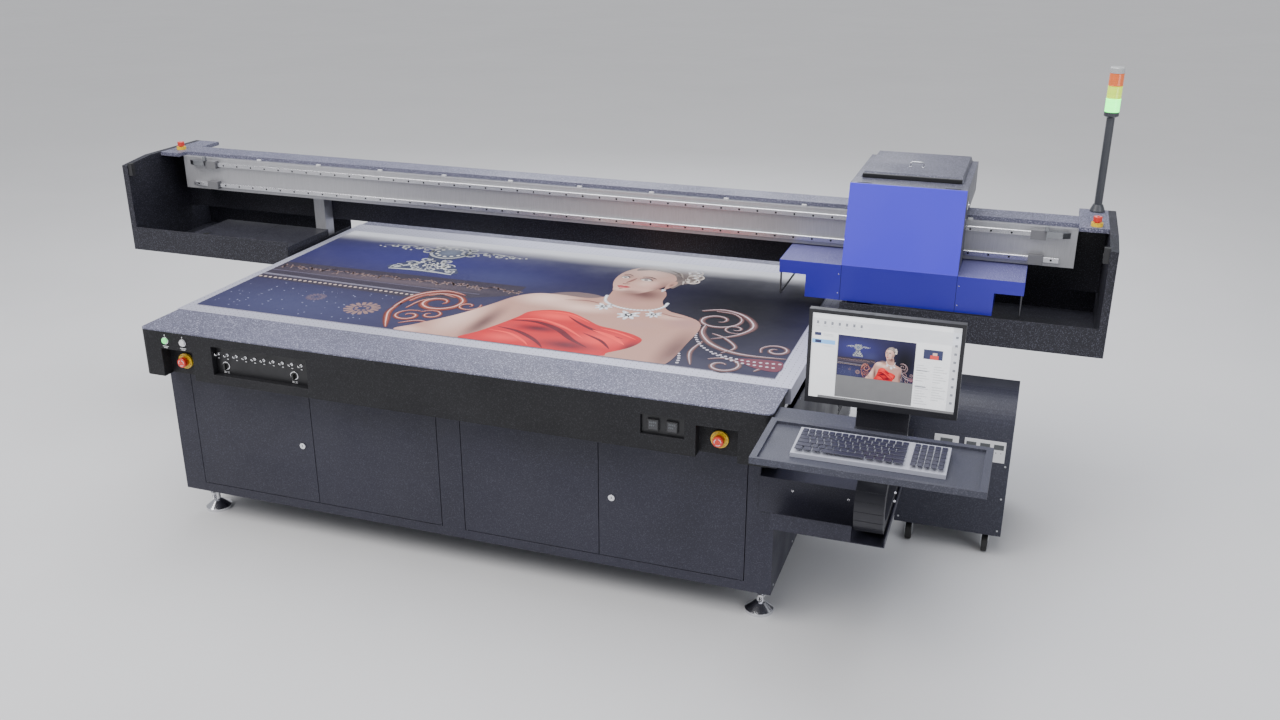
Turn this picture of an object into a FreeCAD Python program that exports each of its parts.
import FreeCAD, Part
import math
import os
from FreeCAD import Vector

# Flatbed UV printer, in millimetres. X runs to the right as the operator stands, Y to the
# rear and Z up from the floor. Sizes are set with X = 0 in the middle of the table and
# Y = 0 at the fascia's front face; every piece is then moved by ORIGIN_SHIFT, so that the
# stored origin is on the floor under the middle of the whole machine.
#
# Insets and setbacks are measured from the piece that carries the one they place: controls
# from the fascia's ends and lower edge, the gantry from the bed, the carriage from the beam,
# and the operator's tray, chain and ink cabinet from the table's right end.

# ---- sheet metal and clearances ----
SHEET = 3.0
SLIDE_CLEARANCE = 0.5
SHAFT_CLEARANCE = 0.05
SHADOW_GAP = 1.0
INNER_GAP = 4.0

# ---- table ----
TABLE_HALF_WIDTH = 1300.0
TABLE_TOP = 923.0
TABLE_CORNER_RADIUS = 26.0
COVER_THICKNESS = 5.0
FRONT_COVER_DEPTH = 243.0
REAR_COVER_DEPTH = 185.0
BED_OVERHANG = 10.0
BED_LENGTH = 1450.0
BED_THICKNESS = 60.0
BED_SKIN = 5.0
BED_RIB = 20.0
BED_ZONES = 5
FASCIA_HEIGHT = 194.0
FASCIA_DEPTH = 190.0
BOARD_THICKNESS = 3.0
BOARD_LEFT_MARGIN = 45.0
BOARD_RIGHT_MARGIN = 75.0
BOARD_FRONT_MARGIN = 68.0
BOARD_REAR_MARGIN = 132.0

# ---- cabinet under the table ----
CABINET_INSET = 5.0
CABINET_SETBACK = 130.0
CABINET_BOTTOM = 140.0
OUTER_STILE = 101.0
CENTRE_STILE = 100.0
BOTTOM_RAIL = 40.0
TOP_RAIL = 9.0
STILE_DEPTH = 18.0
SIDE_SLOT_HEIGHT = 73.0
DOOR_GAP = 3.0
DOOR_THICKNESS = 20.0
DOOR_SKIN = 2.0
DOOR_HINGE_STRIP = 14.0
HINGE_INSET = 5.0
HINGE_PIN_RADIUS = 2.5
HINGE_PIN_LENGTH = 16.0
LOCK_ABOVE_CABINET = 297.0
LOCK_FROM_EDGE = 51.0
LOCK_HEAD_RADIUS = 13.0
LOCK_BARREL_RADIUS = 9.0
LOCK_BARREL_INSET = 6.0
LOCK_HEAD_THICKNESS = 4.0
LOCK_CAM_LENGTH = 40.0
KEY_SLOT_WIDTH = 2.0
KEY_SLOT_HEIGHT = 10.0
KEY_SLOT_DEPTH = 2.0

# ---- steel frame and feet ----
TUBE = 60.0
TUBE_WALL = 4.0
POST_INSET_X = 30.0
POST_INSET_Y = 78.0
CROSS_BEAMS = 5
FOOT_PAD_RADIUS = 55.0
FOOT_PAD_HEIGHT = 12.0
FOOT_DOME_HEIGHT = 26.0
FOOT_DOME_NECK = 6.0
FOOT_STEM_RADIUS = 11.0
FOOT_NUT_RADIUS = 20.0
FOOT_NUT_HEIGHT = 16.0

# ---- linear rails for the gantry, along Y ----
Y_RAIL_WIDTH = 22.0
Y_RAIL_HEIGHT = 22.0
Y_RAIL_START = 225.0
Y_RAIL_REAR_GAP = 95.0
Y_RAIL_WAIST = 4.0
RAIL_SECTION_SHARES = (0.35, 0.5, 0.7, 0.8)
BEARING_LENGTH = 100.0
BEARING_WALL = 14.0
BEARING_FRONT_INSET = 110.0
BEARING_REAR_INSET = 118.0
BRACKET_WALL = 15.0
BRACKET_FRONT_INSET = 90.0
BRACKET_REAR_INSET = 98.0

# ---- controls in the fascia ----
ESTOP_POCKET_WIDTH = 150.0
ESTOP_POCKET_HEIGHT = 121.0
ESTOP_POCKET_DEPTH = 50.0
ESTOP_LEFT_INSET = 170.0
ESTOP_RIGHT_INSET = 192.0
ESTOP_ABOVE_EDGE = 60.0
ESTOP_COLLAR_RADIUS = 32.0
ESTOP_COLLAR_THICKNESS = 10.0
ESTOP_HEAD_RADIUS = 20.0
ESTOP_HEAD_THICKNESS = 20.0
ESTOP_HEAD_ROUND = 4.0
ESTOP_TRAVEL = 5.0
ESTOP_STEM_RADIUS = 10.0
SWITCH_RECESS_INSET = 337.0
SWITCH_RECESS_WIDTH = 437.0
SWITCH_RECESS_ABOVE_EDGE = 38.0
SWITCH_RECESS_HEIGHT = 120.0
SWITCH_RECESS_DEPTH = 30.0
SWITCH_COUNT = 10
SWITCH_INSET = 13.0
SWITCH_PITCH = 42.6
SWITCH_ABOVE_RECESS = 82.0
SWITCH_LEVER_RADIUS = 2.5
SWITCH_LEVER_TIP_RADIUS = 3.25
SWITCH_LEVER_LENGTH = 15.0
SELECTOR_ABOVE_RECESS = 35.0
SELECTOR_LEFT_INSET = 43.0
SELECTOR_RIGHT_INSET = 77.0
SELECTOR_RADIUS = 14.0
SELECTOR_LENGTH = 14.0
SELECTOR_SKIRT = 4.0
SELECTOR_GRIP_WIDTH = 7.0
SELECTOR_SHAFT_RADIUS = 4.0
GAUGE_RECESS_INSET = 309.0
GAUGE_RECESS_WIDTH = 160.0
GAUGE_RECESS_ABOVE_EDGE = 60.0
GAUGE_RECESS_HEIGHT = 75.0
GAUGE_RECESS_DEPTH = 15.0
GAUGE_SIZE = 42.0
GAUGE_THICKNESS = 8.0
GAUGE_PITCH = 70.0
BUTTON_ABOVE_EDGE = 157.0
POWER_BUTTON_INSET = 120.0
RESET_BUTTON_INSET = 204.0
BUTTON_RADIUS = 12.0
BUTTON_STEM_RADIUS = 9.0
BUTTON_THICKNESS = 4.0
BUTTON_TRAVEL = 2.5
BUTTON_STEM_TAIL = 4.0

# ---- gantry ----
GANTRY_LEFT_REACH = 946.0
GANTRY_RIGHT_REACH = 1060.0
GANTRY_ABOVE_BED = 395.0
GANTRY_PARK_INSET = 624.0
END_THICKNESS = 31.0
END_DEPTH = 568.0
END_SLOPE_DEPTH = 170.0
END_NOSE_DROP = 22.0
TRAY_BELOW_BED = 55.0
TRAY_LIP_HEIGHT = 117.0
TRAY_INNER_WALL = 60.0
TRAY_GAP_TO_BED = 20.0
STATION_WIDTH = 605.0
STATION_DEPTH = 357.0
STATION_HEIGHT = 89.0
BEAM_INSET = 144.0
BEAM_SETBACK = 280.0
BEAM_DEPTH = 150.0
BEAM_HEIGHT = 163.0
BEAM_WALL = 5.0
CAP_HEIGHT = 18.0
CAP_SETBACK = 23.0
CORNER_PLATE_REACH = 32.0
REAR_PANEL_ABOVE_BED = 77.0
UPRIGHT_INSET = 15.0
UPRIGHT_WIDTH = 60.0
UPRIGHT_DEPTH = 68.0
X_RAIL_HEIGHT = 18.0
X_RAIL_DEPTH = 18.0
X_RAIL_WAIST = 3.0
X_RAIL_UPPER_GAP = 30.0
X_RAIL_LOWER_GAP = 29.0
X_RAIL_END_GAP = 60.0
X_STOP_RIGHT_INSET = 263.0
X_STOP_LEFT_INSET = 296.0
X_STOP_WIDTH = 60.0
X_STOP_GRIP = 10.0
X_STOP_WALL = 12.0
SENSOR_SIZE = 22.0
SENSOR_HEIGHT = 60.0
SENSOR_BELOW_TOP = 42.0
SENSOR_SETBACK = 4.0
SENSOR_LENS_RADIUS = 6.0
SENSOR_LENS_HEIGHT = 2.0
GANTRY_ESTOP_RADIUS = 23.0
GANTRY_ESTOP_HEAD = 17.0
GANTRY_ESTOP_COLLAR = 14.0
GANTRY_ESTOP_RIGHT_INSET = 79.0
GANTRY_ESTOP_RIGHT_SETBACK = 8.0
GANTRY_ESTOP_LEFT_INSET = 88.0
GANTRY_ESTOP_LEFT_SETBACK = 60.0
TOWER_INSET = 75.0
TOWER_FROM_REAR = 32.0
TOWER_POLE_RADIUS = 16.0
TOWER_POLE_LENGTH = 387.0
TOWER_BASE_RADIUS = 30.0
TOWER_BASE_HEIGHT = 30.0
TOWER_BASE_RIM = 6.0
TOWER_BASE_NECK = 4.0
TOWER_LENS_COUNT = 3
TOWER_LENS_RADIUS = 29.0
TOWER_LENS_HEIGHT = 56.0
TOWER_FOOT_HEIGHT = 24.0
TOWER_FOOT_TAPER = 8.0
TOWER_CAP_HEIGHT = 10.0
TOWER_CAP_TAPER = 5.8

# ---- carriage ----
CARRIAGE_PARK_GAP = 23.0
CARRIAGE_WIDTH = 461.0
CARRIAGE_SETBACK = 30.0
CARRIAGE_ABOVE_BED = 60.0
CARRIAGE_KNEE_HEIGHT = 151.0
CARRIAGE_ABOVE_GANTRY = 141.0
CARRIAGE_LEAN = 78.0
CARRIAGE_REAR_REACH = 270.0
CARRIAGE_BACK_GAP = 32.0
CARRIAGE_BRIDGE_GAP = 14.0
CARRIAGE_SHEET = 4.0
CARRIAGE_COVER = 6.0
WING_WIDTH = 257.0
WING_OVERHANG = 112.0
WING_DEPTH = 324.0
WING_STEP_HEIGHT = 95.0
WING_HEIGHT = 150.0
LAMP_SIDE_GAP = 20.0
LAMP_END_GAP = 24.0
LAMP_BOTTOM_GAP = 6.0
BLOCK_WIDTH = 90.0
BLOCK_INSET = 20.0
BLOCK_WALL = 12.0
BLOCK_BEAM_GAP = 2.0
HEAD_ROWS = 2
HEAD_COLUMNS = 5
HEAD_WIDTH = 44.0
HEAD_DEPTH = 58.0
HEAD_DROP = 22.0
HEAD_BOTTOM_GAP = 2.0
HEAD_PLATE_THICKNESS = 12.0
TANK_SIDE_INSET = 40.0
TANK_END_INSET = 30.0
TANK_HEIGHT = 60.0
BUMPER_RADIUS = 4.0
BUMPER_INSET = 4.0
BUMPER_END_GAP = 2.0
LID_INSET_SIDE = 25.0
LID_SETBACK = 200.0
LID_HEIGHT = 20.0
LID_BEVEL = 8.0
LID_FRONT_BEVEL = 26.0
LID_REAR_GAP = 5.0
LID_WALL_SIDE = 12.0
LID_WALL_FRONT = 30.0
LID_WALL_REAR = 10.0
LID_MOUTH_MARGIN = 20.0
LID_MOUTH_REAR = 30.0

# ---- monitor, keyboard and their tray ----
KEY_TRAY_INSET = 4.0
KEY_TRAY_WIDTH = 710.0
KEY_TRAY_REACH = 350.0
KEY_TRAY_DEPTH = 318.0
KEY_TRAY_BELOW_TOP = 3.0
KEY_TRAY_THICKNESS = 12.0
KEY_TRAY_RIM = 10.0
KEY_TRAY_RIM_WIDTH = 22.0
KEY_TRAY_FRONT_RIM_WIDTH = 11.0
TRAY_BRACKET_OVERLAP = 90.0
TRAY_BRACKET_ABOVE_EDGE = 96.0
TRAY_BRACKET_REAR_GAP = 20.0
KEYBOARD_INSET = 114.0
KEYBOARD_WIDTH = 472.0
KEYBOARD_SETBACK = 66.0
KEYBOARD_DEPTH = 178.0
KEYBOARD_FRONT_HEIGHT = 14.0
KEYBOARD_REAR_HEIGHT = 24.0
MONITOR_INSET = 98.0
MONITOR_WIDTH = 488.0
MONITOR_ABOVE_TRAY = 70.0
MONITOR_HEIGHT = 322.0
MONITOR_FRONT = 0.0
MONITOR_THICKNESS = 26.0
SCREEN_BEZEL = 12.0
SCREEN_CHIN = 20.0
SCREEN_DEPTH = 2.0
MONITOR_PIVOT_RADIUS = 5.0
MONITOR_PIVOT_HEIGHT = 60.0
MONITOR_PIVOT_GAP = 16.0
KNUCKLE_WALL = 3.0
STAND_OFFSET = 9.0
STAND_WIDTH = 170.0
STAND_THICKNESS = 14.0
STAND_TOP_GAP = 10.0
STAND_FOOT_HEIGHT = 22.0
STAND_TAB_WIDTH = 26.0
STAND_TAB_INSET = 20.0
STAND_TAB_TOP = 14.0

# ---- cable support and ink cabinet on the right ----
DUCT_INSET = 55.0
DUCT_LENGTH = 340.0
DUCT_FRONT = 118.0
DUCT_DEPTH = 88.0
DUCT_ABOVE_CABINET = 350.0
DUCT_HEIGHT = 140.0
DUCT_NOTCH_ABOVE = 30.0
TROUGH_GAP = 5.0
TROUGH_FRONT = 20.0
TROUGH_BELOW_DUCT = 11.0
TROUGH_LIP = 63.0
TROUGH_SIDE = 31.5
TROUGH_HANGER = 60.0
TROUGH_REAR_GAP = 30.0
CHAIN_DUCT_GAP = 10.0
CHAIN_SIDE_GAP = 10.0
CHAIN_LIP_GAP = 5.0
CHAIN_WIDTH = 100.0
CHAIN_HEIGHT = 46.0
CHAIN_BEND_RADIUS = 116.0
CHAIN_ABOVE_TROUGH = 16.0
CHAIN_REAR_GAP = 4.0
INK_GAP_TO_TABLE = 340.0
INK_WIDTH = 430.0
INK_FRONT = 930.0
INK_DEPTH = 570.0
INK_BOTTOM = 100.0
INK_TOP = 535.0
INK_MOUTH_RIM = 12.0
HOOD_HEIGHT = 165.0
HOOD_DEPTH = 230.0
HOOD_RADIUS = 140.0
HOOD_ARC_STEPS = 12
HOOD_KNUCKLE_RADIUS = 5.0
HOOD_PIN_RADIUS = 3.0
HOOD_PIN_INSET = 30.0
HOOD_EAR_HALF = 4.0
HOOD_EAR_WIDTH = 15.0
HOOD_STRAP_HALF = 3.0
WHEEL_RADIUS = 37.0
WHEEL_WIDTH = 24.0
WHEEL_ROUND = 4.0
WHEEL_AXLE_RADIUS = 5.0
WHEEL_AXLE_TAIL = 5.0
CASTER_INSET_X = 60.0
CASTER_INSET_Y = 52.0
CASTER_PLATE = 56.0
CASTER_PLATE_THICKNESS = 6.0
FORK_THICKNESS = 3.0
FORK_WIDTH = 28.0
FORK_BELOW_AXLE = 12.0

# ---- pieces inside the cabinet ----
BLOWER_RADIUS = 150.0
BLOWER_LENGTH = 260.0
BLOWER_OFFSET = 2.0
BLOWER_FLOOR_GAP = 20.0
BLOWER_REAR_GAP = 642.0
MOTOR_RADIUS = 90.0
MOTOR_LENGTH = 208.0
PORT_RADIUS = 45.0
PORT_HEIGHT = 240.0
BLOWER_FOOT_INSET = 60.0
BLOWER_FOOT_WIDTH = 70.0
BLOWER_FOOT_RISE = 75.0
ELECTRONICS_WIDTH = 620.0
ELECTRONICS_DEPTH = 220.0
ELECTRONICS_HEIGHT = 480.0
ELECTRONICS_REAR_GAP = 90.0

# ---- table and cabinet places that follow from the sizes above ----
CABINET_HALF_WIDTH = TABLE_HALF_WIDTH - CABINET_INSET
COVER_BOTTOM = TABLE_TOP - COVER_THICKNESS
FASCIA_BOTTOM = COVER_BOTTOM - FASCIA_HEIGHT
BED_HALF_WIDTH = TABLE_HALF_WIDTH + BED_OVERHANG
BED_FRONT = FRONT_COVER_DEPTH + SHADOW_GAP
BED_REAR = BED_FRONT + BED_LENGTH
BED_BOTTOM = TABLE_TOP - BED_THICKNESS
TABLE_REAR = BED_REAR + SHADOW_GAP + REAR_COVER_DEPTH
SIDE_PANEL_TOP = BED_BOTTOM - SIDE_SLOT_HEIGHT
CABINET_TOP = FASCIA_BOTTOM
CABINET_FLOOR = CABINET_BOTTOM + SHEET
DOOR_OPENING_BOTTOM = CABINET_BOTTOM + BOTTOM_RAIL
DOOR_OPENING_TOP = CABINET_TOP - TOP_RAIL
OPENING_OUTER = CABINET_HALF_WIDTH - OUTER_STILE
OPENING_INNER = CENTRE_STILE / 2
BAY_MIDDLE = (OPENING_OUTER + OPENING_INNER) / 2
BLOWER_X = BAY_MIDDLE - BLOWER_OFFSET
DOOR_WIDTH = (OPENING_OUTER - OPENING_INNER - 3 * DOOR_GAP) / 2
DOOR_BOTTOM = DOOR_OPENING_BOTTOM + DOOR_GAP
DOOR_TOP = DOOR_OPENING_TOP - DOOR_GAP
LOCK_HEIGHT = CABINET_BOTTOM + LOCK_ABOVE_CABINET
POST_OUTER_X = CABINET_HALF_WIDTH - SHEET - POST_INSET_X
POST_CENTRE_X = POST_OUTER_X - TUBE / 2
POST_FRONT_Y = CABINET_SETBACK + POST_INSET_Y
POST_REAR_Y = TABLE_REAR - POST_INSET_Y - TUBE
SIDE_BEAM_BOTTOM = BED_BOTTOM - TUBE
Y_RAIL_BOTTOM = SIDE_BEAM_BOTTOM + (TUBE - Y_RAIL_HEIGHT) / 2
Y_RAIL_END = TABLE_REAR - Y_RAIL_REAR_GAP

# ---- places of the controls ----
ESTOP_LEFT_X = -TABLE_HALF_WIDTH + ESTOP_LEFT_INSET
ESTOP_RIGHT_X = TABLE_HALF_WIDTH - ESTOP_RIGHT_INSET
ESTOP_HEIGHT = FASCIA_BOTTOM + ESTOP_ABOVE_EDGE
SWITCH_RECESS_LEFT = -TABLE_HALF_WIDTH + SWITCH_RECESS_INSET
SWITCH_RECESS_RIGHT = SWITCH_RECESS_LEFT + SWITCH_RECESS_WIDTH
SWITCH_RECESS_BOTTOM = FASCIA_BOTTOM + SWITCH_RECESS_ABOVE_EDGE
SWITCH_RECESS_TOP = SWITCH_RECESS_BOTTOM + SWITCH_RECESS_HEIGHT
SWITCH_HEIGHT = SWITCH_RECESS_BOTTOM + SWITCH_ABOVE_RECESS
SELECTOR_HEIGHT = SWITCH_RECESS_BOTTOM + SELECTOR_ABOVE_RECESS
SELECTOR_LEFT_X = SWITCH_RECESS_LEFT + SELECTOR_LEFT_INSET
SELECTOR_RIGHT_X = SWITCH_RECESS_RIGHT - SELECTOR_RIGHT_INSET
GAUGE_RECESS_RIGHT = TABLE_HALF_WIDTH - GAUGE_RECESS_INSET
GAUGE_RECESS_LEFT = GAUGE_RECESS_RIGHT - GAUGE_RECESS_WIDTH
GAUGE_RECESS_BOTTOM = FASCIA_BOTTOM + GAUGE_RECESS_ABOVE_EDGE
GAUGE_RECESS_TOP = GAUGE_RECESS_BOTTOM + GAUGE_RECESS_HEIGHT
BUTTON_HEIGHT = FASCIA_BOTTOM + BUTTON_ABOVE_EDGE
POWER_BUTTON_X = -TABLE_HALF_WIDTH + POWER_BUTTON_INSET
RESET_BUTTON_X = -TABLE_HALF_WIDTH + RESET_BUTTON_INSET
BUTTON_GAP = BUTTON_TRAVEL + SLIDE_CLEARANCE

# ---- places on the gantry ----
GANTRY_LEFT = -TABLE_HALF_WIDTH - GANTRY_LEFT_REACH
GANTRY_RIGHT = TABLE_HALF_WIDTH + GANTRY_RIGHT_REACH
GANTRY_MIDDLE = (GANTRY_LEFT + GANTRY_RIGHT) / 2
GANTRY_TOP = TABLE_TOP + GANTRY_ABOVE_BED
END_FRONT = BED_REAR - GANTRY_PARK_INSET
END_REAR = END_FRONT + END_DEPTH
END_BEND = END_FRONT + END_SLOPE_DEPTH
TRAY_BOTTOM = TABLE_TOP - TRAY_BELOW_BED
TRAY_FLOOR = TRAY_BOTTOM + SHEET
TRAY_INNER_X = BED_HALF_WIDTH + TRAY_GAP_TO_BED
BEAM_LEFT = GANTRY_LEFT + BEAM_INSET
BEAM_RIGHT = GANTRY_RIGHT - BEAM_INSET
BEAM_TOP = GANTRY_TOP - CAP_HEIGHT
BEAM_BOTTOM = BEAM_TOP - BEAM_HEIGHT
BEAM_FRONT = END_FRONT + BEAM_SETBACK
BEAM_REAR = BEAM_FRONT + BEAM_DEPTH
X_RAIL_UPPER = BEAM_TOP - X_RAIL_UPPER_GAP
X_RAIL_LOWER = BEAM_BOTTOM + X_RAIL_LOWER_GAP
RAIL_HEIGHTS = (X_RAIL_UPPER, X_RAIL_LOWER)
SENSOR_MIDDLE = GANTRY_TOP - SENSOR_BELOW_TOP
GANTRY_ESTOP_RIGHT = (GANTRY_RIGHT - GANTRY_ESTOP_RIGHT_INSET, BEAM_FRONT + GANTRY_ESTOP_RIGHT_SETBACK)
GANTRY_ESTOP_LEFT = (GANTRY_LEFT + GANTRY_ESTOP_LEFT_INSET, BEAM_FRONT + GANTRY_ESTOP_LEFT_SETBACK)
TOWER_X = GANTRY_RIGHT - TOWER_INSET
TOWER_Y = END_REAR - TOWER_FROM_REAR
TOWER_POLE_TOP = GANTRY_TOP + TOWER_POLE_LENGTH

# ---- places on the carriage ----
CARRIAGE_LEFT = TABLE_HALF_WIDTH + CARRIAGE_PARK_GAP
CARRIAGE_RIGHT = CARRIAGE_LEFT + CARRIAGE_WIDTH
CARRIAGE_MIDDLE = (CARRIAGE_LEFT + CARRIAGE_RIGHT) / 2
CARRIAGE_FRONT = END_FRONT + CARRIAGE_SETBACK
CARRIAGE_BOTTOM = TABLE_TOP + CARRIAGE_ABOVE_BED
CARRIAGE_KNEE = CARRIAGE_BOTTOM + CARRIAGE_KNEE_HEIGHT
CARRIAGE_TOP = GANTRY_TOP + CARRIAGE_ABOVE_GANTRY
CARRIAGE_REAR = BEAM_REAR + CARRIAGE_REAR_REACH
CARRIAGE_BACK_PLATE = BEAM_FRONT - CARRIAGE_BACK_GAP
BRIDGE_BOTTOM = GANTRY_TOP + CARRIAGE_BRIDGE_GAP
WING_BOTTOM = CARRIAGE_BOTTOM + WING_STEP_HEIGHT
WING_TOP = CARRIAGE_BOTTOM + WING_HEIGHT
LID_FRONT = CARRIAGE_FRONT + LID_SETBACK

# ---- places of the tray, monitor, chain and ink cabinet ----
KEY_TRAY_LEFT = TABLE_HALF_WIDTH + KEY_TRAY_INSET
KEY_TRAY_RIGHT = KEY_TRAY_LEFT + KEY_TRAY_WIDTH
KEY_TRAY_FRONT = -KEY_TRAY_REACH
KEY_TRAY_REAR = KEY_TRAY_FRONT + KEY_TRAY_DEPTH
KEY_TRAY_TOP = TABLE_TOP - KEY_TRAY_BELOW_TOP
KEY_TRAY_BOTTOM = KEY_TRAY_TOP - KEY_TRAY_THICKNESS
KEYBOARD_LEFT = KEY_TRAY_LEFT + KEYBOARD_INSET
KEYBOARD_FRONT = KEY_TRAY_FRONT + KEYBOARD_SETBACK
MONITOR_LEFT = KEY_TRAY_LEFT + MONITOR_INSET
MONITOR_BOTTOM = KEY_TRAY_TOP + MONITOR_ABOVE_TRAY
STAND_LEFT = MONITOR_LEFT + MONITOR_WIDTH / 2 + STAND_OFFSET - STAND_WIDTH / 2
STAND_RIGHT = STAND_LEFT + STAND_WIDTH
PIVOT_Y = MONITOR_FRONT + MONITOR_THICKNESS + MONITOR_PIVOT_GAP
PIVOT_Z = MONITOR_BOTTOM + MONITOR_PIVOT_HEIGHT
DUCT_LEFT = CABINET_HALF_WIDTH - DUCT_INSET
DUCT_RIGHT = DUCT_LEFT + DUCT_LENGTH
DUCT_REAR = DUCT_FRONT + DUCT_DEPTH
DUCT_BOTTOM = CABINET_BOTTOM + DUCT_ABOVE_CABINET
DUCT_TOP = DUCT_BOTTOM + DUCT_HEIGHT
CHAIN_LEFT = DUCT_RIGHT + CHAIN_DUCT_GAP
CHAIN_RIGHT = CHAIN_LEFT + CHAIN_WIDTH
TROUGH_LEFT = TABLE_HALF_WIDTH + TROUGH_GAP
TROUGH_RIGHT = CHAIN_RIGHT + CHAIN_SIDE_GAP
TROUGH_REAR = INK_FRONT - TROUGH_REAR_GAP
TROUGH_BOTTOM = DUCT_BOTTOM - TROUGH_BELOW_DUCT
CHAIN_BOTTOM = TROUGH_BOTTOM + CHAIN_ABOVE_TROUGH
CHAIN_REAR = TROUGH_REAR - CHAIN_REAR_GAP
INK_LEFT = TABLE_HALF_WIDTH + INK_GAP_TO_TABLE
INK_RIGHT = INK_LEFT + INK_WIDTH
INK_REAR = INK_FRONT + INK_DEPTH
HOOD_REAR = INK_FRONT + HOOD_DEPTH
HOOD_PIN_Y = HOOD_REAR + HOOD_KNUCKLE_RADIUS + SHADOW_GAP
HOOD_PIN_Z = INK_TOP + HOOD_KNUCKLE_RADIUS + 2 * SHADOW_GAP
ORIGIN_SHIFT = Vector(-GANTRY_MIDDLE, -(KEY_TRAY_FRONT + TABLE_REAR) / 2, 0)


# ---- shape helpers ----
def block(x0, y0, z0, x1, y1, z1):
    """A box between two opposite corners."""
    return Part.makeBox(x1 - x0, y1 - y0, z1 - z0, Vector(x0, y0, z0))


def rod(x, y, z, axis, radius, length):
    """A cylinder that starts at a point and runs along an axis."""
    return Part.makeCylinder(radius, length, Vector(x, y, z), Vector(*axis))


def prism_x(outline, x0, x1):
    """An outline of (y, z) points drawn out along X."""
    wire = Part.makePolygon([Vector(x0, y, z) for y, z in outline + outline[:1]])
    return Part.Face(wire).extrude(Vector(x1 - x0, 0, 0))


def prism_y(outline, y0, y1):
    """An outline of (x, z) points drawn out along Y."""
    wire = Part.makePolygon([Vector(x, y0, z) for x, z in outline + outline[:1]])
    return Part.Face(wire).extrude(Vector(0, y1 - y0, 0))


def turned(profile, x, y):
    """A closed (radius, z) profile turned about a vertical axis."""
    wire = Part.makePolygon([Vector(r, 0, z) for r, z in profile + profile[:1]])
    solid = Part.Face(wire).revolve(Vector(0, 0, 0), Vector(0, 0, 1), 360)
    solid.translate(Vector(x, y, 0))
    return solid


def tube_x(x0, x1, y, z, depth, height, wall):
    """A box section along X with its low front corner at y, z."""
    outer = block(x0, y, z, x1, y + depth, z + height)
    return outer.cut(block(x0, y + wall, z + wall, x1, y + depth - wall, z + height - wall))


def tube_y(y0, y1, x, z, wall):
    """A square box section along Y with its low left corner at x, z."""
    outer = block(x, y0, z, x + TUBE, y1, z + TUBE)
    return outer.cut(block(x + wall, y0, z + wall, x + TUBE - wall, y1, z + TUBE - wall))


def tube_z(z0, z1, x, y, wall):
    """A square box section along Z with its left front corner at x, y."""
    outer = block(x, y, z0, x + TUBE, y + TUBE, z1)
    return outer.cut(block(x + wall, y + wall, z0, x + TUBE - wall, y + TUBE - wall, z1))


def mirrored(shape, middle=0.0):
    """The same shape on the other side of the plane X = middle."""
    return shape.mirror(Vector(middle, 0, 0), Vector(1, 0, 0))


def both_sides(shape, middle=0.0):
    return [shape, mirrored(shape, middle)]


def round_front_corners(shape, radius):
    """Round the upright edges at the shape's two front corners."""
    limits = shape.BoundBox
    corners = []
    for edge in shape.Edges:
        box = edge.BoundBox
        upright = box.ZLength > 1.0 and box.XLength < 0.01 and box.YLength < 0.01
        at_side = abs(box.XMin - limits.XMin) < 0.01 or abs(box.XMax - limits.XMax) < 0.01
        if upright and at_side and abs(box.YMin - limits.YMin) < 0.01:
            corners.append(edge)
    return shape.makeFillet(radius, corners)


# ---- frame, cabinet and feet ----
def base_frame():
    solids = []
    for x in (-POST_OUTER_X, POST_OUTER_X - TUBE):
        for y in (POST_FRONT_Y, POST_REAR_Y):
            solids.append(tube_z(CABINET_FLOOR, SIDE_BEAM_BOTTOM, x, y, TUBE_WALL))
        solids.append(tube_y(POST_FRONT_Y, POST_REAR_Y + TUBE, x, SIDE_BEAM_BOTTOM, TUBE_WALL))
        solids.append(tube_y(POST_FRONT_Y + TUBE, POST_REAR_Y, x, CABINET_FLOOR, TUBE_WALL))
    inner_x = POST_OUTER_X - TUBE
    for y in (POST_FRONT_Y, POST_REAR_Y):
        solids.append(tube_x(-inner_x, inner_x, y, CABINET_FLOOR, TUBE, TUBE, TUBE_WALL))
    pitch = (POST_REAR_Y - POST_FRONT_Y) / (CROSS_BEAMS - 1)
    for index in range(CROSS_BEAMS):
        y = POST_FRONT_Y + index * pitch
        solids.append(tube_x(-inner_x, inner_x, y, SIDE_BEAM_BOTTOM, TUBE, TUBE, TUBE_WALL))
    return solids


def side_panel():
    """The right side sheet, low under the fascia and higher behind it."""
    outline = [
        (CABINET_SETBACK, CABINET_BOTTOM),
        (TABLE_REAR, CABINET_BOTTOM),
        (TABLE_REAR, SIDE_PANEL_TOP),
        (FASCIA_DEPTH + SHADOW_GAP, SIDE_PANEL_TOP),
        (FASCIA_DEPTH + SHADOW_GAP, CABINET_TOP),
        (CABINET_SETBACK, CABINET_TOP),
    ]
    return prism_x(outline, CABINET_HALF_WIDTH - SHEET, CABINET_HALF_WIDTH)


def duct_cutout():
    """The corner cut-out of the cabinet that the cable duct comes out of."""
    return block(
        DUCT_LEFT - SHADOW_GAP,
        0,
        DUCT_BOTTOM - SHADOW_GAP,
        CABINET_HALF_WIDTH + SHEET,
        DUCT_REAR + SHADOW_GAP,
        DUCT_TOP + DUCT_NOTCH_ABOVE,
    )


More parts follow.
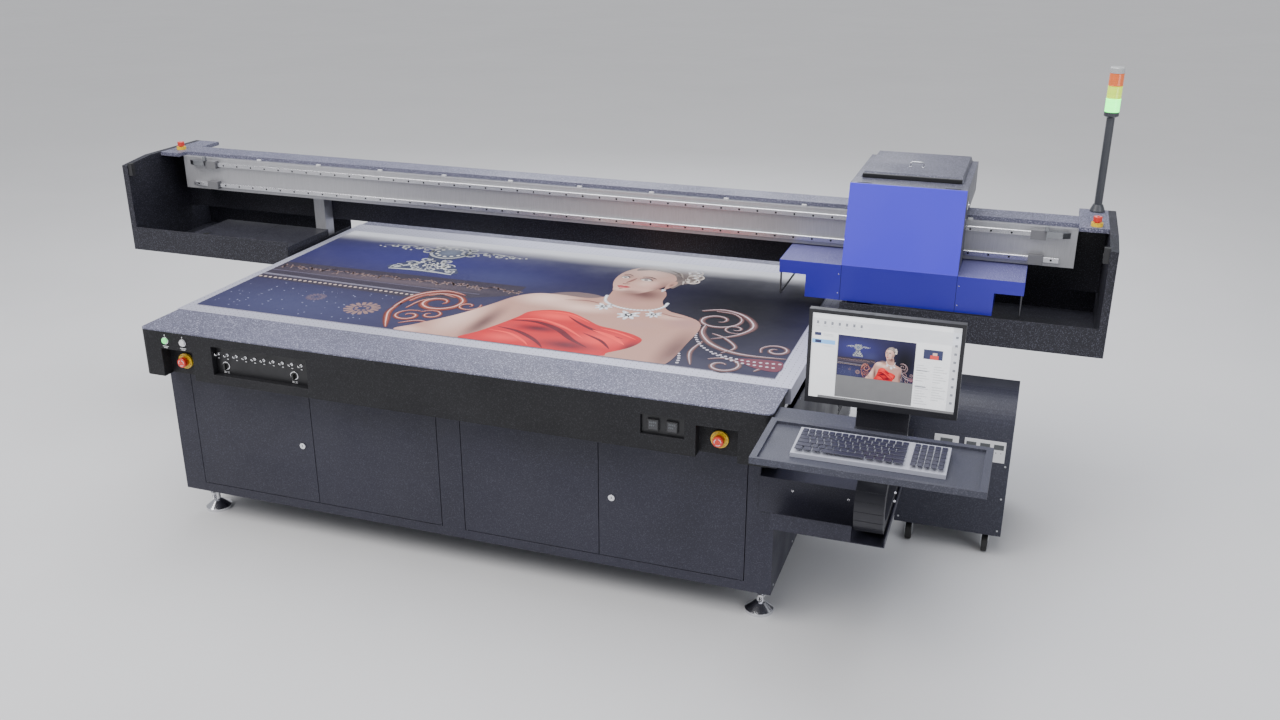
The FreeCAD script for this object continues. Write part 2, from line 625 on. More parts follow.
def cabinet_shell():
    inner_x = CABINET_HALF_WIDTH - SHEET
    front = CABINET_SETBACK
    back = front + STILE_DEPTH
    right_stile = block(OPENING_OUTER, front, CABINET_BOTTOM, inner_x, back, CABINET_TOP)
    left_stile = mirrored(right_stile)
    panels = [
        mirrored(side_panel()),
        side_panel().cut(duct_cutout()),
        left_stile,
        right_stile.cut(duct_cutout()),
        block(-OPENING_INNER, front, CABINET_BOTTOM, OPENING_INNER, back, CABINET_TOP),
        block(-inner_x, TABLE_REAR - SHEET, CABINET_BOTTOM, inner_x, TABLE_REAR, SIDE_PANEL_TOP),
        block(-inner_x, back, CABINET_BOTTOM, inner_x, TABLE_REAR - SHEET, CABINET_FLOOR),
    ]
    for side in (-1, 1):
        low = min(side * OPENING_INNER, side * OPENING_OUTER)
        high = max(side * OPENING_INNER, side * OPENING_OUTER)
        panels.append(block(low, front, CABINET_BOTTOM, high, back, DOOR_OPENING_BOTTOM))
        panels.append(block(low, front, DOOR_OPENING_TOP, high, back, CABINET_TOP))
    partition_front = POST_FRONT_Y + TUBE + SHADOW_GAP
    partition_bottom = CABINET_FLOOR + TUBE
    half = SHEET / 2
    panels.append(block(-half, partition_front, partition_bottom, half, POST_REAR_Y, SIDE_BEAM_BOTTOM))
    return panels


def levelling_feet():
    """Dished pad, threaded stem and locking nut at each post, turned as one."""
    dome_top = FOOT_PAD_HEIGHT + FOOT_DOME_HEIGHT
    profile = [
        (0, 0),
        (FOOT_PAD_RADIUS, 0),
        (FOOT_PAD_RADIUS, FOOT_PAD_HEIGHT),
        (FOOT_STEM_RADIUS * 2, dome_top),
        (FOOT_STEM_RADIUS, dome_top + FOOT_DOME_NECK),
        (FOOT_STEM_RADIUS, CABINET_BOTTOM - FOOT_NUT_HEIGHT),
        (FOOT_NUT_RADIUS, CABINET_BOTTOM - FOOT_NUT_HEIGHT),
        (FOOT_NUT_RADIUS, CABINET_BOTTOM),
        (0, CABINET_BOTTOM),
    ]
    feet = []
    for x in (-POST_CENTRE_X, POST_CENTRE_X):
        for y in (POST_FRONT_Y + TUBE / 2, POST_REAR_Y + TUBE / 2):
            feet.append(turned(profile, x, y))
    return feet


# ---- doors ----
def door_spans():
    """Left edge of each door, and whether its hinge is on the left."""
    left_pair = -OPENING_OUTER + DOOR_GAP
    right_pair = OPENING_INNER + DOOR_GAP
    step = DOOR_WIDTH + DOOR_GAP
    return [
        (left_pair, True),
        (left_pair + step, False),
        (right_pair, True),
        (right_pair + step, False),
    ]


def hinge_x(left_edge, hinge_on_left):
    return left_edge + (HINGE_INSET if hinge_on_left else DOOR_WIDTH - HINGE_INSET)


def lock_x(left_edge, hinge_on_left):
    return left_edge + (DOOR_WIDTH - LOCK_FROM_EDGE if hinge_on_left else LOCK_FROM_EDGE)


def door(index, with_lock):
    left_edge, hinge_on_left = door_spans()[index]
    right_edge = left_edge + DOOR_WIDTH
    front = CABINET_SETBACK
    back = front + DOOR_THICKNESS
    leaf = block(left_edge, front, DOOR_BOTTOM, right_edge, back, DOOR_TOP)
    pocket_left = left_edge + (DOOR_HINGE_STRIP if hinge_on_left else DOOR_SKIN)
    pocket_right = right_edge - (DOOR_SKIN if hinge_on_left else DOOR_HINGE_STRIP)
    pocket = block(
        pocket_left,
        front + DOOR_SKIN,
        DOOR_BOTTOM + DOOR_HINGE_STRIP,
        pocket_right,
        back,
        DOOR_TOP - DOOR_HINGE_STRIP,
    )
    leaf = leaf.cut(pocket)
    bore_radius = HINGE_PIN_RADIUS + SHAFT_CLEARANCE
    bore_depth = HINGE_PIN_LENGTH - DOOR_GAP + SLIDE_CLEARANCE
    pin_x = hinge_x(left_edge, hinge_on_left)
    pin_y = front + HINGE_INSET
    leaf = leaf.cut(rod(pin_x, pin_y, DOOR_BOTTOM, (0, 0, 1), bore_radius, bore_depth))
    leaf = leaf.cut(rod(pin_x, pin_y, DOOR_TOP, (0, 0, -1), bore_radius, bore_depth))
    if with_lock:
        hole_x = lock_x(left_edge, hinge_on_left)
        hole_radius = LOCK_BARREL_RADIUS + SHAFT_CLEARANCE
        leaf = leaf.cut(rod(hole_x, front - 1, LOCK_HEIGHT, (0, 1, 0), hole_radius, DOOR_THICKNESS))
    return [leaf]


def door_hinge_pins():
    pins = []
    for left_edge, hinge_on_left in door_spans():
        x = hinge_x(left_edge, hinge_on_left)
        y = CABINET_SETBACK + HINGE_INSET
        pins.append(rod(x, y, DOOR_OPENING_BOTTOM, (0, 0, 1), HINGE_PIN_RADIUS, HINGE_PIN_LENGTH))
        pins.append(rod(x, y, DOOR_OPENING_TOP, (0, 0, -1), HINGE_PIN_RADIUS, HINGE_PIN_LENGTH))
    return pins


def door_lock(index):
    """Key head, barrel through the door skin and the cam behind it, hanging down."""
    x = lock_x(*door_spans()[index])
    face = CABINET_SETBACK - SLIDE_CLEARANCE
    head_front = face - LOCK_HEAD_THICKNESS
    barrel_length = DOOR_THICKNESS - LOCK_BARREL_INSET
    head = rod(x, head_front, LOCK_HEIGHT, (0, 1, 0), LOCK_HEAD_RADIUS, LOCK_HEAD_THICKNESS)
    barrel = rod(x, face, LOCK_HEIGHT, (0, 1, 0), LOCK_BARREL_RADIUS, barrel_length)
    cam = block(
        x - LOCK_BARREL_RADIUS,
        face + barrel_length - SHEET,
        LOCK_HEIGHT - LOCK_CAM_LENGTH,
        x + LOCK_BARREL_RADIUS,
        face + barrel_length,
        LOCK_HEIGHT,
    )
    key_slot = block(
        x - KEY_SLOT_WIDTH / 2,
        head_front,
        LOCK_HEIGHT - KEY_SLOT_HEIGHT / 2,
        x + KEY_SLOT_WIDTH / 2,
        head_front + KEY_SLOT_DEPTH,
        LOCK_HEIGHT + KEY_SLOT_HEIGHT / 2,
    )
    return [head.fuse([barrel, cam]).cut(key_slot)]


# ---- fascia, covers and bed ----
def recess_pan(x0, x1, z0, z1, depth, open_below=False):
    """Sheet-metal pan set into an opening of the fascia's front wall, open to the front."""
    pan_bottom = z0 if open_below else z0 - SHEET
    pan = block(x0 - SHEET, 0, pan_bottom, x1 + SHEET, depth + SHEET, z1 + SHEET)
    return pan.cut(block(x0, 0, z0, x1, depth, z1))


def recess_pans():
    """Pans for the switches, the gauges and the two emergency stops."""
    pans = [
        recess_pan(
            SWITCH_RECESS_LEFT,
            SWITCH_RECESS_RIGHT,
            SWITCH_RECESS_BOTTOM,
            SWITCH_RECESS_TOP,
            SWITCH_RECESS_DEPTH,
        ),
        recess_pan(
            GAUGE_RECESS_LEFT,
            GAUGE_RECESS_RIGHT,
            GAUGE_RECESS_BOTTOM,
            GAUGE_RECESS_TOP,
            GAUGE_RECESS_DEPTH,
        ),
    ]
    for x in (ESTOP_LEFT_X, ESTOP_RIGHT_X):
        half = ESTOP_POCKET_WIDTH / 2
        top = FASCIA_BOTTOM + ESTOP_POCKET_HEIGHT
        pans.append(recess_pan(x - half, x + half, FASCIA_BOTTOM, top, ESTOP_POCKET_DEPTH, True))
    return pans


def front_fascia():
    """Front wall with rounded ends, and the pans that are set into its openings."""
    half = TABLE_HALF_WIDTH
    outer = block(-half, 0, FASCIA_BOTTOM, half, FASCIA_DEPTH, COVER_BOTTOM)
    outer = round_front_corners(outer, TABLE_CORNER_RADIUS)
    inner_half = half - SHEET
    inner = block(-inner_half, SHEET, FASCIA_BOTTOM + SHEET, inner_half, FASCIA_DEPTH, COVER_BOTTOM)
    inner = round_front_corners(inner, TABLE_CORNER_RADIUS - SHEET)
    shell = outer.cut(inner)
    pans = recess_pans()
    for pan in pans:
        limits = pan.BoundBox
        shell = shell.cut(block(limits.XMin, 0, limits.ZMin, limits.XMax, limits.YMax, limits.ZMax))
    for x in (POWER_BUTTON_X, RESET_BUTTON_X):
        shell = shell.cut(rod(x, 0, BUTTON_HEIGHT, (0, 1, 0), BUTTON_STEM_RADIUS + SHAFT_CLEARANCE, SHEET))
    return [shell.removeSplitter()] + pans


def table_top_covers():
    half = TABLE_HALF_WIDTH
    front = block(-half, 0, COVER_BOTTOM, half, FRONT_COVER_DEPTH, TABLE_TOP)
    front = round_front_corners(front, TABLE_CORNER_RADIUS)
    rear_front = BED_REAR + SHADOW_GAP
    rear = block(-half, rear_front, COVER_BOTTOM, half, TABLE_REAR, TABLE_TOP)
    skirt = block(-half, TABLE_REAR - SHEET, SIDE_PANEL_TOP, half, TABLE_REAR, COVER_BOTTOM)
    return [front, rear.fuse(skirt).removeSplitter()]


def bed_plate():
    """Vacuum table: a skin over five zones, parted by ribs and open underneath."""
    bed = block(-BED_HALF_WIDTH, BED_FRONT, BED_BOTTOM, BED_HALF_WIDTH, BED_REAR, TABLE_TOP)
    zone_width = (2 * BED_HALF_WIDTH - (BED_ZONES + 1) * BED_RIB) / BED_ZONES
    for index in range(BED_ZONES):
        left = -BED_HALF_WIDTH + BED_RIB + index * (zone_width + BED_RIB)
        zone = block(
            left,
            BED_FRONT + BED_RIB,
            BED_BOTTOM,
            left + zone_width,
            BED_REAR - BED_RIB,
            TABLE_TOP - BED_SKIN,
        )
        bed = bed.cut(zone)
    return [bed]


def printed_board():
    left = -BED_HALF_WIDTH + BOARD_LEFT_MARGIN
    right = BED_HALF_WIDTH - BOARD_RIGHT_MARGIN
    front = BED_FRONT + BOARD_FRONT_MARGIN
    rear = BED_REAR - BOARD_REAR_MARGIN
    return [block(left, front, TABLE_TOP, right, rear, TABLE_TOP + BOARD_THICKNESS)]


# ---- linear rails and what rides on them ----
def rail_outline(base, height_middle, reach, height, waist):
    """Section of a linear rail that stands out from a face: base, waist and head."""
    half = height / 2
    narrow = half - waist
    foot, waist_start, waist_end, head = [base + reach * share for share in RAIL_SECTION_SHARES]
    lower = [
        (base, -half),
        (foot, -half),
        (waist_start, -narrow),
        (waist_end, -narrow),
        (head, -half),
        (base + reach, -half),
    ]
    upper = [(out, -height) for out, height in reversed(lower)]
    return [(out, height_middle + height) for out, height in lower + upper]


def y_rails():
    middle = Y_RAIL_BOTTOM + Y_RAIL_HEIGHT / 2
    outline = rail_outline(POST_OUTER_X, middle, Y_RAIL_WIDTH, Y_RAIL_HEIGHT, Y_RAIL_WAIST)
    return both_sides(prism_y(outline, Y_RAIL_START, Y_RAIL_END))


def gantry_bearings():
    """Four U-shaped bearing blocks and the two brackets that carry the end trays."""
    inner = POST_OUTER_X + INNER_GAP
    outer = POST_OUTER_X + Y_RAIL_WIDTH + BEARING_WALL
    bottom = Y_RAIL_BOTTOM - BEARING_WALL
    top = Y_RAIL_BOTTOM + Y_RAIL_HEIGHT + BEARING_WALL
    solids = []
    rear_block = END_REAR - BEARING_REAR_INSET - BEARING_LENGTH
    for front in (END_FRONT + BEARING_FRONT_INSET, rear_block):
        body = block(inner, front, bottom, outer, front + BEARING_LENGTH, top)
        groove = block(
            inner,
            front,
            Y_RAIL_BOTTOM - SLIDE_CLEARANCE,
            POST_OUTER_X + Y_RAIL_WIDTH + SLIDE_CLEARANCE,
            front + BEARING_LENGTH,
            Y_RAIL_BOTTOM + Y_RAIL_HEIGHT + SLIDE_CLEARANCE,
        )
        solids += both_sides(body.cut(groove))
    outline = [
        (outer, bottom),
        (TRAY_INNER_X + BRACKET_WALL, bottom),
        (TRAY_INNER_X + BRACKET_WALL, TRAY_BOTTOM),
        (TRAY_INNER_X, TRAY_BOTTOM),
        (TRAY_INNER_X, bottom + BRACKET_WALL),
        (outer, bottom + BRACKET_WALL),
    ]
    bracket = prism_y(outline, END_FRONT + BRACKET_FRONT_INSET, END_REAR - BRACKET_REAR_INSET)
    solids += both_sides(bracket)
    return solids


# ---- gantry ----
def end_panel_right():
    """Hollow side cheek, closed above and open underneath."""

    def cheek(inset):
        return [
            (END_FRONT + inset, TRAY_BOTTOM),
            (END_REAR - inset, TRAY_BOTTOM),
            (END_REAR - inset, GANTRY_TOP - inset),
            (END_BEND, GANTRY_TOP - inset),
            (END_FRONT + inset, GANTRY_TOP - END_NOSE_DROP - inset),
        ]

    outer = prism_x(cheek(0.0), GANTRY_RIGHT - END_THICKNESS, GANTRY_RIGHT)
    return outer.cut(prism_x(cheek(SHEET), GANTRY_RIGHT - END_THICKNESS + SHEET, GANTRY_RIGHT - SHEET))


def end_tray(inner_x, outer_x):
    """Open tray between the table's side and an end cheek, with a tall front lip."""
    low = min(inner_x, outer_x)
    high = max(inner_x, outer_x)
    lip_top = TRAY_BOTTOM + TRAY_LIP_HEIGHT
    tray = block(low, END_FRONT, TRAY_BOTTOM, high, END_REAR, TRAY_FLOOR)
    front_lip = block(low, END_FRONT, TRAY_BOTTOM, high, END_FRONT + SHEET, lip_top)
    rear_wall = block(low, END_REAR - SHEET, TRAY_BOTTOM, high, END_REAR, lip_top)
    side_low = min(inner_x, inner_x + math.copysign(SHEET, outer_x - inner_x))
    side_wall = block(
        side_low,
        END_FRONT,
        TRAY_BOTTOM,
        side_low + SHEET,
        END_REAR,
        TRAY_BOTTOM + TRAY_INNER_WALL,
    )
    return tray.fuse([front_lip, rear_wall, side_wall]).removeSplitter()


def tray_right():
    return [end_tray(TRAY_INNER_X, GANTRY_RIGHT - END_THICKNESS)]


def tray_left():
    """The left tray, with the cover of the head-cleaning station standing in it."""
    tray = end_tray(-TRAY_INNER_X, GANTRY_LEFT + END_THICKNESS)
    right = -TRAY_INNER_X - SHEET - SHADOW_GAP
    left = right - STATION_WIDTH
    front = END_FRONT + SHEET + SHADOW_GAP
    rear = front + STATION_DEPTH
    top = TRAY_FLOOR + STATION_HEIGHT
    station = block(left, front, TRAY_FLOOR, right, rear, top)
    hollow = block(left + SHEET, front + SHEET, TRAY_FLOOR, right - SHEET, rear - SHEET, top - SHEET)
    return [tray, station.cut(hollow)]


def gantry_beam():
    """The cross beam and the two uprights that stand in the trays beside the table."""
    low = BEAM_BOTTOM + BEAM_WALL
    high = BEAM_TOP - BEAM_WALL
    walls = [
        block(BEAM_LEFT, BEAM_FRONT, BEAM_BOTTOM, BEAM_RIGHT, BEAM_REAR, low),
        block(BEAM_LEFT, BEAM_FRONT, high, BEAM_RIGHT, BEAM_REAR, BEAM_TOP),
        block(BEAM_LEFT, BEAM_FRONT, low, BEAM_RIGHT, BEAM_FRONT + BEAM_WALL, high),
        block(BEAM_LEFT, BEAM_REAR - BEAM_WALL, low, BEAM_RIGHT, BEAM_REAR, high),
    ]
    inner = TRAY_INNER_X + UPRIGHT_INSET
    front = BEAM_REAR - UPRIGHT_DEPTH
    upright = block(inner, front, TRAY_FLOOR, inner + UPRIGHT_WIDTH, BEAM_REAR, BEAM_BOTTOM)
    core = block(
        inner + BEAM_WALL,
        front + BEAM_WALL,
        TRAY_FLOOR,
        inner + UPRIGHT_WIDTH - BEAM_WALL,
        BEAM_REAR - BEAM_WALL,
        BEAM_BOTTOM,
    )
    return walls + both_sides(upright.cut(core))


def gantry_top_cap():
    """Folded cap along the beam, and a folded corner plate at each end."""
    skin_bottom = GANTRY_TOP - SHEET
    cap_front = BEAM_FRONT + CAP_SETBACK
    cap = block(BEAM_LEFT, cap_front, BEAM_TOP, BEAM_RIGHT, BEAM_REAR, GANTRY_TOP)
    hollow = block(BEAM_LEFT, cap_front + SHEET, BEAM_TOP, BEAM_RIGHT, BEAM_REAR - SHEET, skin_bottom)
    cap = cap.cut(hollow)
    plate_front = BEAM_FRONT - CORNER_PLATE_REACH
    plate_end = GANTRY_RIGHT - END_THICKNESS
    plate = block(BEAM_RIGHT, plate_front, BEAM_TOP, plate_end, END_REAR, GANTRY_TOP)
    plate_hollow = block(
        BEAM_RIGHT + SHEET,
        plate_front + SHEET,
        BEAM_TOP,
        plate_end - SHEET,
        END_REAR - SHEET,
        skin_bottom,
    )
    plate = plate.cut(plate_hollow)
    return [cap] + both_sides(plate, GANTRY_MIDDLE)


def gantry_rear_panel():
    left = GANTRY_LEFT + END_THICKNESS
    right = GANTRY_RIGHT - END_THICKNESS
    bottom = TABLE_TOP + REAR_PANEL_ABOVE_BED
    return [block(left, BEAM_REAR, bottom, right, BEAM_REAR + SHEET, BEAM_TOP)]


def x_rails():
    rails = []
    for height in RAIL_HEIGHTS:
        outline = rail_outline(0.0, height, X_RAIL_DEPTH, X_RAIL_HEIGHT, X_RAIL_WAIST)
        outline = [(BEAM_FRONT - reach, z) for reach, z in outline]
        rails.append(prism_x(outline, BEAM_LEFT + X_RAIL_END_GAP, BEAM_RIGHT - X_RAIL_END_GAP))
    return rails


def end_stops():
    """Buffer blocks clamped over both rails at each end of the carriage's travel."""
    stops = []
    front = BEAM_FRONT - X_RAIL_DEPTH - X_STOP_WALL
    rail_front = BEAM_FRONT - X_RAIL_DEPTH
    slot_half = X_RAIL_HEIGHT / 2
    half = slot_half + X_STOP_GRIP
    for left in (GANTRY_RIGHT - X_STOP_RIGHT_INSET - X_STOP_WIDTH, GANTRY_LEFT + X_STOP_LEFT_INSET):
        right = left + X_STOP_WIDTH
        for height in RAIL_HEIGHTS:
            body = block(left, front, height - half, right, BEAM_FRONT, height + half)
            slot = block(left, rail_front, height - slot_half, right, BEAM_FRONT, height + slot_half)
            stops.append(body.cut(slot))
    return stops


def laser_sensors():
    """Light-barrier emitter and receiver on the inner faces of the two cheeks."""
    inner_face = GANTRY_RIGHT - END_THICKNESS
    outer_face = inner_face - SENSOR_SIZE
    front = END_FRONT + SENSOR_SETBACK
    low = SENSOR_MIDDLE - SENSOR_HEIGHT / 2
    body = block(outer_face, front, low, inner_face, front + SENSOR_SIZE, low + SENSOR_HEIGHT)
    middle_y = front + SENSOR_SIZE / 2
    lens = rod(outer_face, middle_y, SENSOR_MIDDLE, (-1, 0, 0), SENSOR_LENS_RADIUS, SENSOR_LENS_HEIGHT)
    return both_sides(body.fuse(lens), GANTRY_MIDDLE)


def signal_tower_pole():
    profile = [
        (0, GANTRY_TOP),
        (TOWER_BASE_RADIUS, GANTRY_TOP),
        (TOWER_BASE_RADIUS, GANTRY_TOP + TOWER_BASE_RIM),
        (TOWER_POLE_RADIUS + TOWER_BASE_NECK, GANTRY_TOP + TOWER_BASE_HEIGHT),
        (TOWER_POLE_RADIUS, GANTRY_TOP + TOWER_BASE_HEIGHT),
        (TOWER_POLE_RADIUS, TOWER_POLE_TOP),
        (TOWER_LENS_RADIUS, TOWER_POLE_TOP + TOWER_FOOT_TAPER),
        (TOWER_LENS_RADIUS, TOWER_POLE_TOP + TOWER_FOOT_HEIGHT),
        (0, TOWER_POLE_TOP + TOWER_FOOT_HEIGHT),
    ]
    return [turned(profile, TOWER_X, TOWER_Y)]


def signal_tower_lenses():
    """Stacked lenses under a shallow cap."""
    bottom = TOWER_POLE_TOP + TOWER_FOOT_HEIGHT
    lenses = []
    for index in range(TOWER_LENS_COUNT):
        z = bottom + index * TOWER_LENS_HEIGHT
        lenses.append(rod(TOWER_X, TOWER_Y, z, (0, 0, 1), TOWER_LENS_RADIUS, TOWER_LENS_HEIGHT))
    top = Vector(TOWER_X, TOWER_Y, bottom + TOWER_LENS_COUNT * TOWER_LENS_HEIGHT)
    cap = Part.makeCone(TOWER_LENS_RADIUS, TOWER_LENS_RADIUS - TOWER_CAP_TAPER, TOWER_CAP_HEIGHT, top)
    return lenses + [cap]


# ---- emergency stops, buttons and switches ----
def estop_collars_front():
    back = ESTOP_POCKET_DEPTH
    front = back - ESTOP_COLLAR_THICKNESS
    collars = []
    for x in (ESTOP_LEFT_X, ESTOP_RIGHT_X):
        collar = rod(x, front, ESTOP_HEIGHT, (0, 1, 0), ESTOP_COLLAR_RADIUS, ESTOP_COLLAR_THICKNESS)
        bore_radius = ESTOP_STEM_RADIUS + SHAFT_CLEARANCE
        bore = rod(x, front, ESTOP_HEIGHT, (0, 1, 0), bore_radius, ESTOP_COLLAR_THICKNESS)
        collars.append(collar.cut(bore))
    return collars


def estop_front(x):
    head_back = ESTOP_POCKET_DEPTH - ESTOP_COLLAR_THICKNESS - ESTOP_TRAVEL - SLIDE_CLEARANCE
    stem_end = ESTOP_POCKET_DEPTH - ESTOP_TRAVEL - SLIDE_CLEARANCE
    head_front = head_back - ESTOP_HEAD_THICKNESS
    head = rod(x, head_front, ESTOP_HEIGHT, (0, 1, 0), ESTOP_HEAD_RADIUS, ESTOP_HEAD_THICKNESS)
    front_edges = [edge for edge in head.Edges if edge.BoundBox.YMax < head_back]
    head = head.makeFillet(ESTOP_HEAD_ROUND, front_edges)
    stem = rod(x, head_back, ESTOP_HEIGHT, (0, 1, 0), ESTOP_STEM_RADIUS, stem_end - head_back)
    return [head.fuse(stem)]


def estop_collars_gantry():
    collars = []
    for x, y in (GANTRY_ESTOP_LEFT, GANTRY_ESTOP_RIGHT):
        collar = rod(x, y, GANTRY_TOP, (0, 0, 1), GANTRY_ESTOP_RADIUS, GANTRY_ESTOP_COLLAR)
        bore_radius = ESTOP_STEM_RADIUS + SHAFT_CLEARANCE
        bore = rod(x, y, GANTRY_TOP, (0, 0, 1), bore_radius, GANTRY_ESTOP_COLLAR)
        collars.append(collar.cut(bore))
    return collars


def estop_gantry(place):
    x, y = place
    head_bottom = GANTRY_TOP + GANTRY_ESTOP_COLLAR + ESTOP_TRAVEL + SLIDE_CLEARANCE
    stem_bottom = GANTRY_TOP + ESTOP_TRAVEL + SLIDE_CLEARANCE
    head = rod(x, y, head_bottom, (0, 0, 1), GANTRY_ESTOP_HEAD, ESTOP_HEAD_THICKNESS)
    top_edges = [edge for edge in head.Edges if edge.BoundBox.ZMin > head_bottom]
    head = head.makeFillet(ESTOP_HEAD_ROUND, top_edges)
    stem = rod(x, y, stem_bottom, (0, 0, 1), ESTOP_STEM_RADIUS, head_bottom - stem_bottom)
    return [head.fuse(stem)]


def push_button(x):
    """A flat button whose stem slides in the fascia's front wall."""
    cap_back = -BUTTON_GAP
    cap = rod(x, cap_back - BUTTON_THICKNESS, BUTTON_HEIGHT, (0, 1, 0), BUTTON_RADIUS, BUTTON_THICKNESS)
    stem_length = BUTTON_GAP + SHEET + BUTTON_STEM_TAIL
    stem = rod(x, cap_back, BUTTON_HEIGHT, (0, 1, 0), BUTTON_STEM_RADIUS, stem_length)
    return [cap.fuse(stem)]


def control_panels():
    """Switch plate in its recess, and the gauge plate with its two gauges."""
    face = SWITCH_RECESS_DEPTH - SHEET
    edge = SHADOW_GAP
    plate = block(
        SWITCH_RECESS_LEFT + edge,
        face,
        SWITCH_RECESS_BOTTOM + edge,
        SWITCH_RECESS_RIGHT - edge,
        SWITCH_RECESS_DEPTH,
        SWITCH_RECESS_TOP - edge,
    )
    for x in (SELECTOR_LEFT_X, SELECTOR_RIGHT_X):
        shaft_hole = SELECTOR_SHAFT_RADIUS + SHAFT_CLEARANCE
        plate = plate.cut(rod(x, face, SELECTOR_HEIGHT, (0, 1, 0), shaft_hole, SHEET))
    gauge_face = GAUGE_RECESS_DEPTH - SHEET
    gauge_plate = block(
        GAUGE_RECESS_LEFT + edge,
        gauge_face,
        GAUGE_RECESS_BOTTOM + edge,
        GAUGE_RECESS_RIGHT - edge,
        GAUGE_RECESS_DEPTH,
        GAUGE_RECESS_TOP - edge,
    )
    middle_x = (GAUGE_RECESS_LEFT + GAUGE_RECESS_RIGHT) / 2
    middle_z = (GAUGE_RECESS_BOTTOM + GAUGE_RECESS_TOP) / 2
    half = GAUGE_SIZE / 2
    for x in (middle_x - GAUGE_PITCH / 2, middle_x + GAUGE_PITCH / 2):
        gauge_front = gauge_face - GAUGE_THICKNESS
        gauge = block(x - half, gauge_front, middle_z - half, x + half, gauge_face, middle_z + half)
        gauge_plate = gauge_plate.fuse(gauge)
    return [plate, gauge_plate]


def vacuum_switch_levers():
    """One short lever for each vacuum zone, all on one horizontal pivot line."""
    pivot_y = SWITCH_RECESS_DEPTH - SHEET - SWITCH_LEVER_RADIUS - SLIDE_CLEARANCE
    levers = []
    for index in range(SWITCH_COUNT):
        x = SWITCH_RECESS_LEFT + SWITCH_INSET + index * SWITCH_PITCH
        pivot = Vector(x, pivot_y, SWITCH_HEIGHT)
        lever = Part.makeCone(
            SWITCH_LEVER_RADIUS,
            SWITCH_LEVER_TIP_RADIUS,
            SWITCH_LEVER_LENGTH,
            pivot,
            Vector(0, -1, 0),
        )
        root = Part.makeSphere(SWITCH_LEVER_RADIUS, pivot)
        levers.append(lever.fuse(root))
    return levers


def selector(x):
    """Rotary selector: round skirt, raised grip bar and a shaft in the switch plate."""
    back = SWITCH_RECESS_DEPTH - SHEET - SLIDE_CLEARANCE
    skirt_front = back - SELECTOR_SKIRT
    skirt = rod(x, skirt_front, SELECTOR_HEIGHT, (0, 1, 0), SELECTOR_RADIUS, SELECTOR_SKIRT)
    grip_half = SELECTOR_RADIUS - SHADOW_GAP
    grip = block(
        x - SELECTOR_GRIP_WIDTH / 2,
        back - SELECTOR_LENGTH,
        SELECTOR_HEIGHT - grip_half,
        x + SELECTOR_GRIP_WIDTH / 2,
        skirt_front,
        SELECTOR_HEIGHT + grip_half,
    )
    shaft = rod(x, back, SELECTOR_HEIGHT, (0, 1, 0), SELECTOR_SHAFT_RADIUS, SHEET)
    return [skirt.fuse([grip, shaft])]


# ---- carriage ----
def carriage_outline():
    """Side view of the carriage: leaning front, flat top and a bridge over the beam."""
    front = CARRIAGE_FRONT + CARRIAGE_COVER
    return [
        (front, CARRIAGE_BOTTOM),
        (front, CARRIAGE_KNEE),
        (front + CARRIAGE_LEAN, CARRIAGE_TOP),
        (CARRIAGE_REAR, CARRIAGE_TOP),
        (CARRIAGE_REAR, BRIDGE_BOTTOM),
        (CARRIAGE_BACK_PLATE, BRIDGE_BOTTOM),
        (CARRIAGE_BACK_PLATE, CARRIAGE_BOTTOM),
    ]


def carriage_top(left, top_front, right):
    """Four strips of sheet around the mouth under the lid."""
    bottom = CARRIAGE_TOP - CARRIAGE_SHEET
    mouth_left = CARRIAGE_LEFT + LID_INSET_SIDE + LID_MOUTH_MARGIN
    mouth_right = CARRIAGE_RIGHT - LID_INSET_SIDE - LID_MOUTH_MARGIN
    mouth_front = LID_FRONT + LID_MOUTH_MARGIN
    mouth_rear = CARRIAGE_REAR - LID_MOUTH_REAR
    return [
        block(left, top_front, bottom, right, mouth_front, CARRIAGE_TOP),
        block(left, mouth_rear, bottom, right, CARRIAGE_REAR - CARRIAGE_SHEET, CARRIAGE_TOP),
        block(left, mouth_front, bottom, mouth_left, mouth_rear, CARRIAGE_TOP),
        block(mouth_right, mouth_front, bottom, right, mouth_rear, CARRIAGE_TOP),
    ]


def carriage_body():
    """Box of sheet panels, open underneath for the heads and above under the lid."""
    sheet = CARRIAGE_SHEET
    left = CARRIAGE_LEFT + sheet
    right = CARRIAGE_RIGHT - sheet
    front = CARRIAGE_FRONT + CARRIAGE_COVER
    back = CARRIAGE_BACK_PLATE
    rear = CARRIAGE_REAR
    top_front = front + CARRIAGE_LEAN + sheet
    leaning_front = [
        (front, CARRIAGE_KNEE),
        (front + sheet, CARRIAGE_KNEE),
        (top_front, CARRIAGE_TOP),
        (front + CARRIAGE_LEAN, CARRIAGE_TOP),
    ]
    panels = [
        prism_x(carriage_outline(), CARRIAGE_LEFT, left),
        prism_x(carriage_outline(), right, CARRIAGE_RIGHT),
        block(left, front, CARRIAGE_BOTTOM, right, front + sheet, CARRIAGE_KNEE),
        prism_x(leaning_front, left, right),
        block(left, rear - sheet, BRIDGE_BOTTOM, right, rear, CARRIAGE_TOP),
        block(left, back - sheet, BRIDGE_BOTTOM, right, rear - sheet, BRIDGE_BOTTOM + sheet),
        block(left, back - sheet, CARRIAGE_BOTTOM, right, back, BRIDGE_BOTTOM),
    ]
    panels += carriage_top(left, top_front, right)
    for block_left in (CARRIAGE_LEFT + BLOCK_INSET, CARRIAGE_RIGHT - BLOCK_INSET - BLOCK_WIDTH):
        for height in RAIL_HEIGHTS:
            panels.append(rail_block(block_left, height))
    return panels


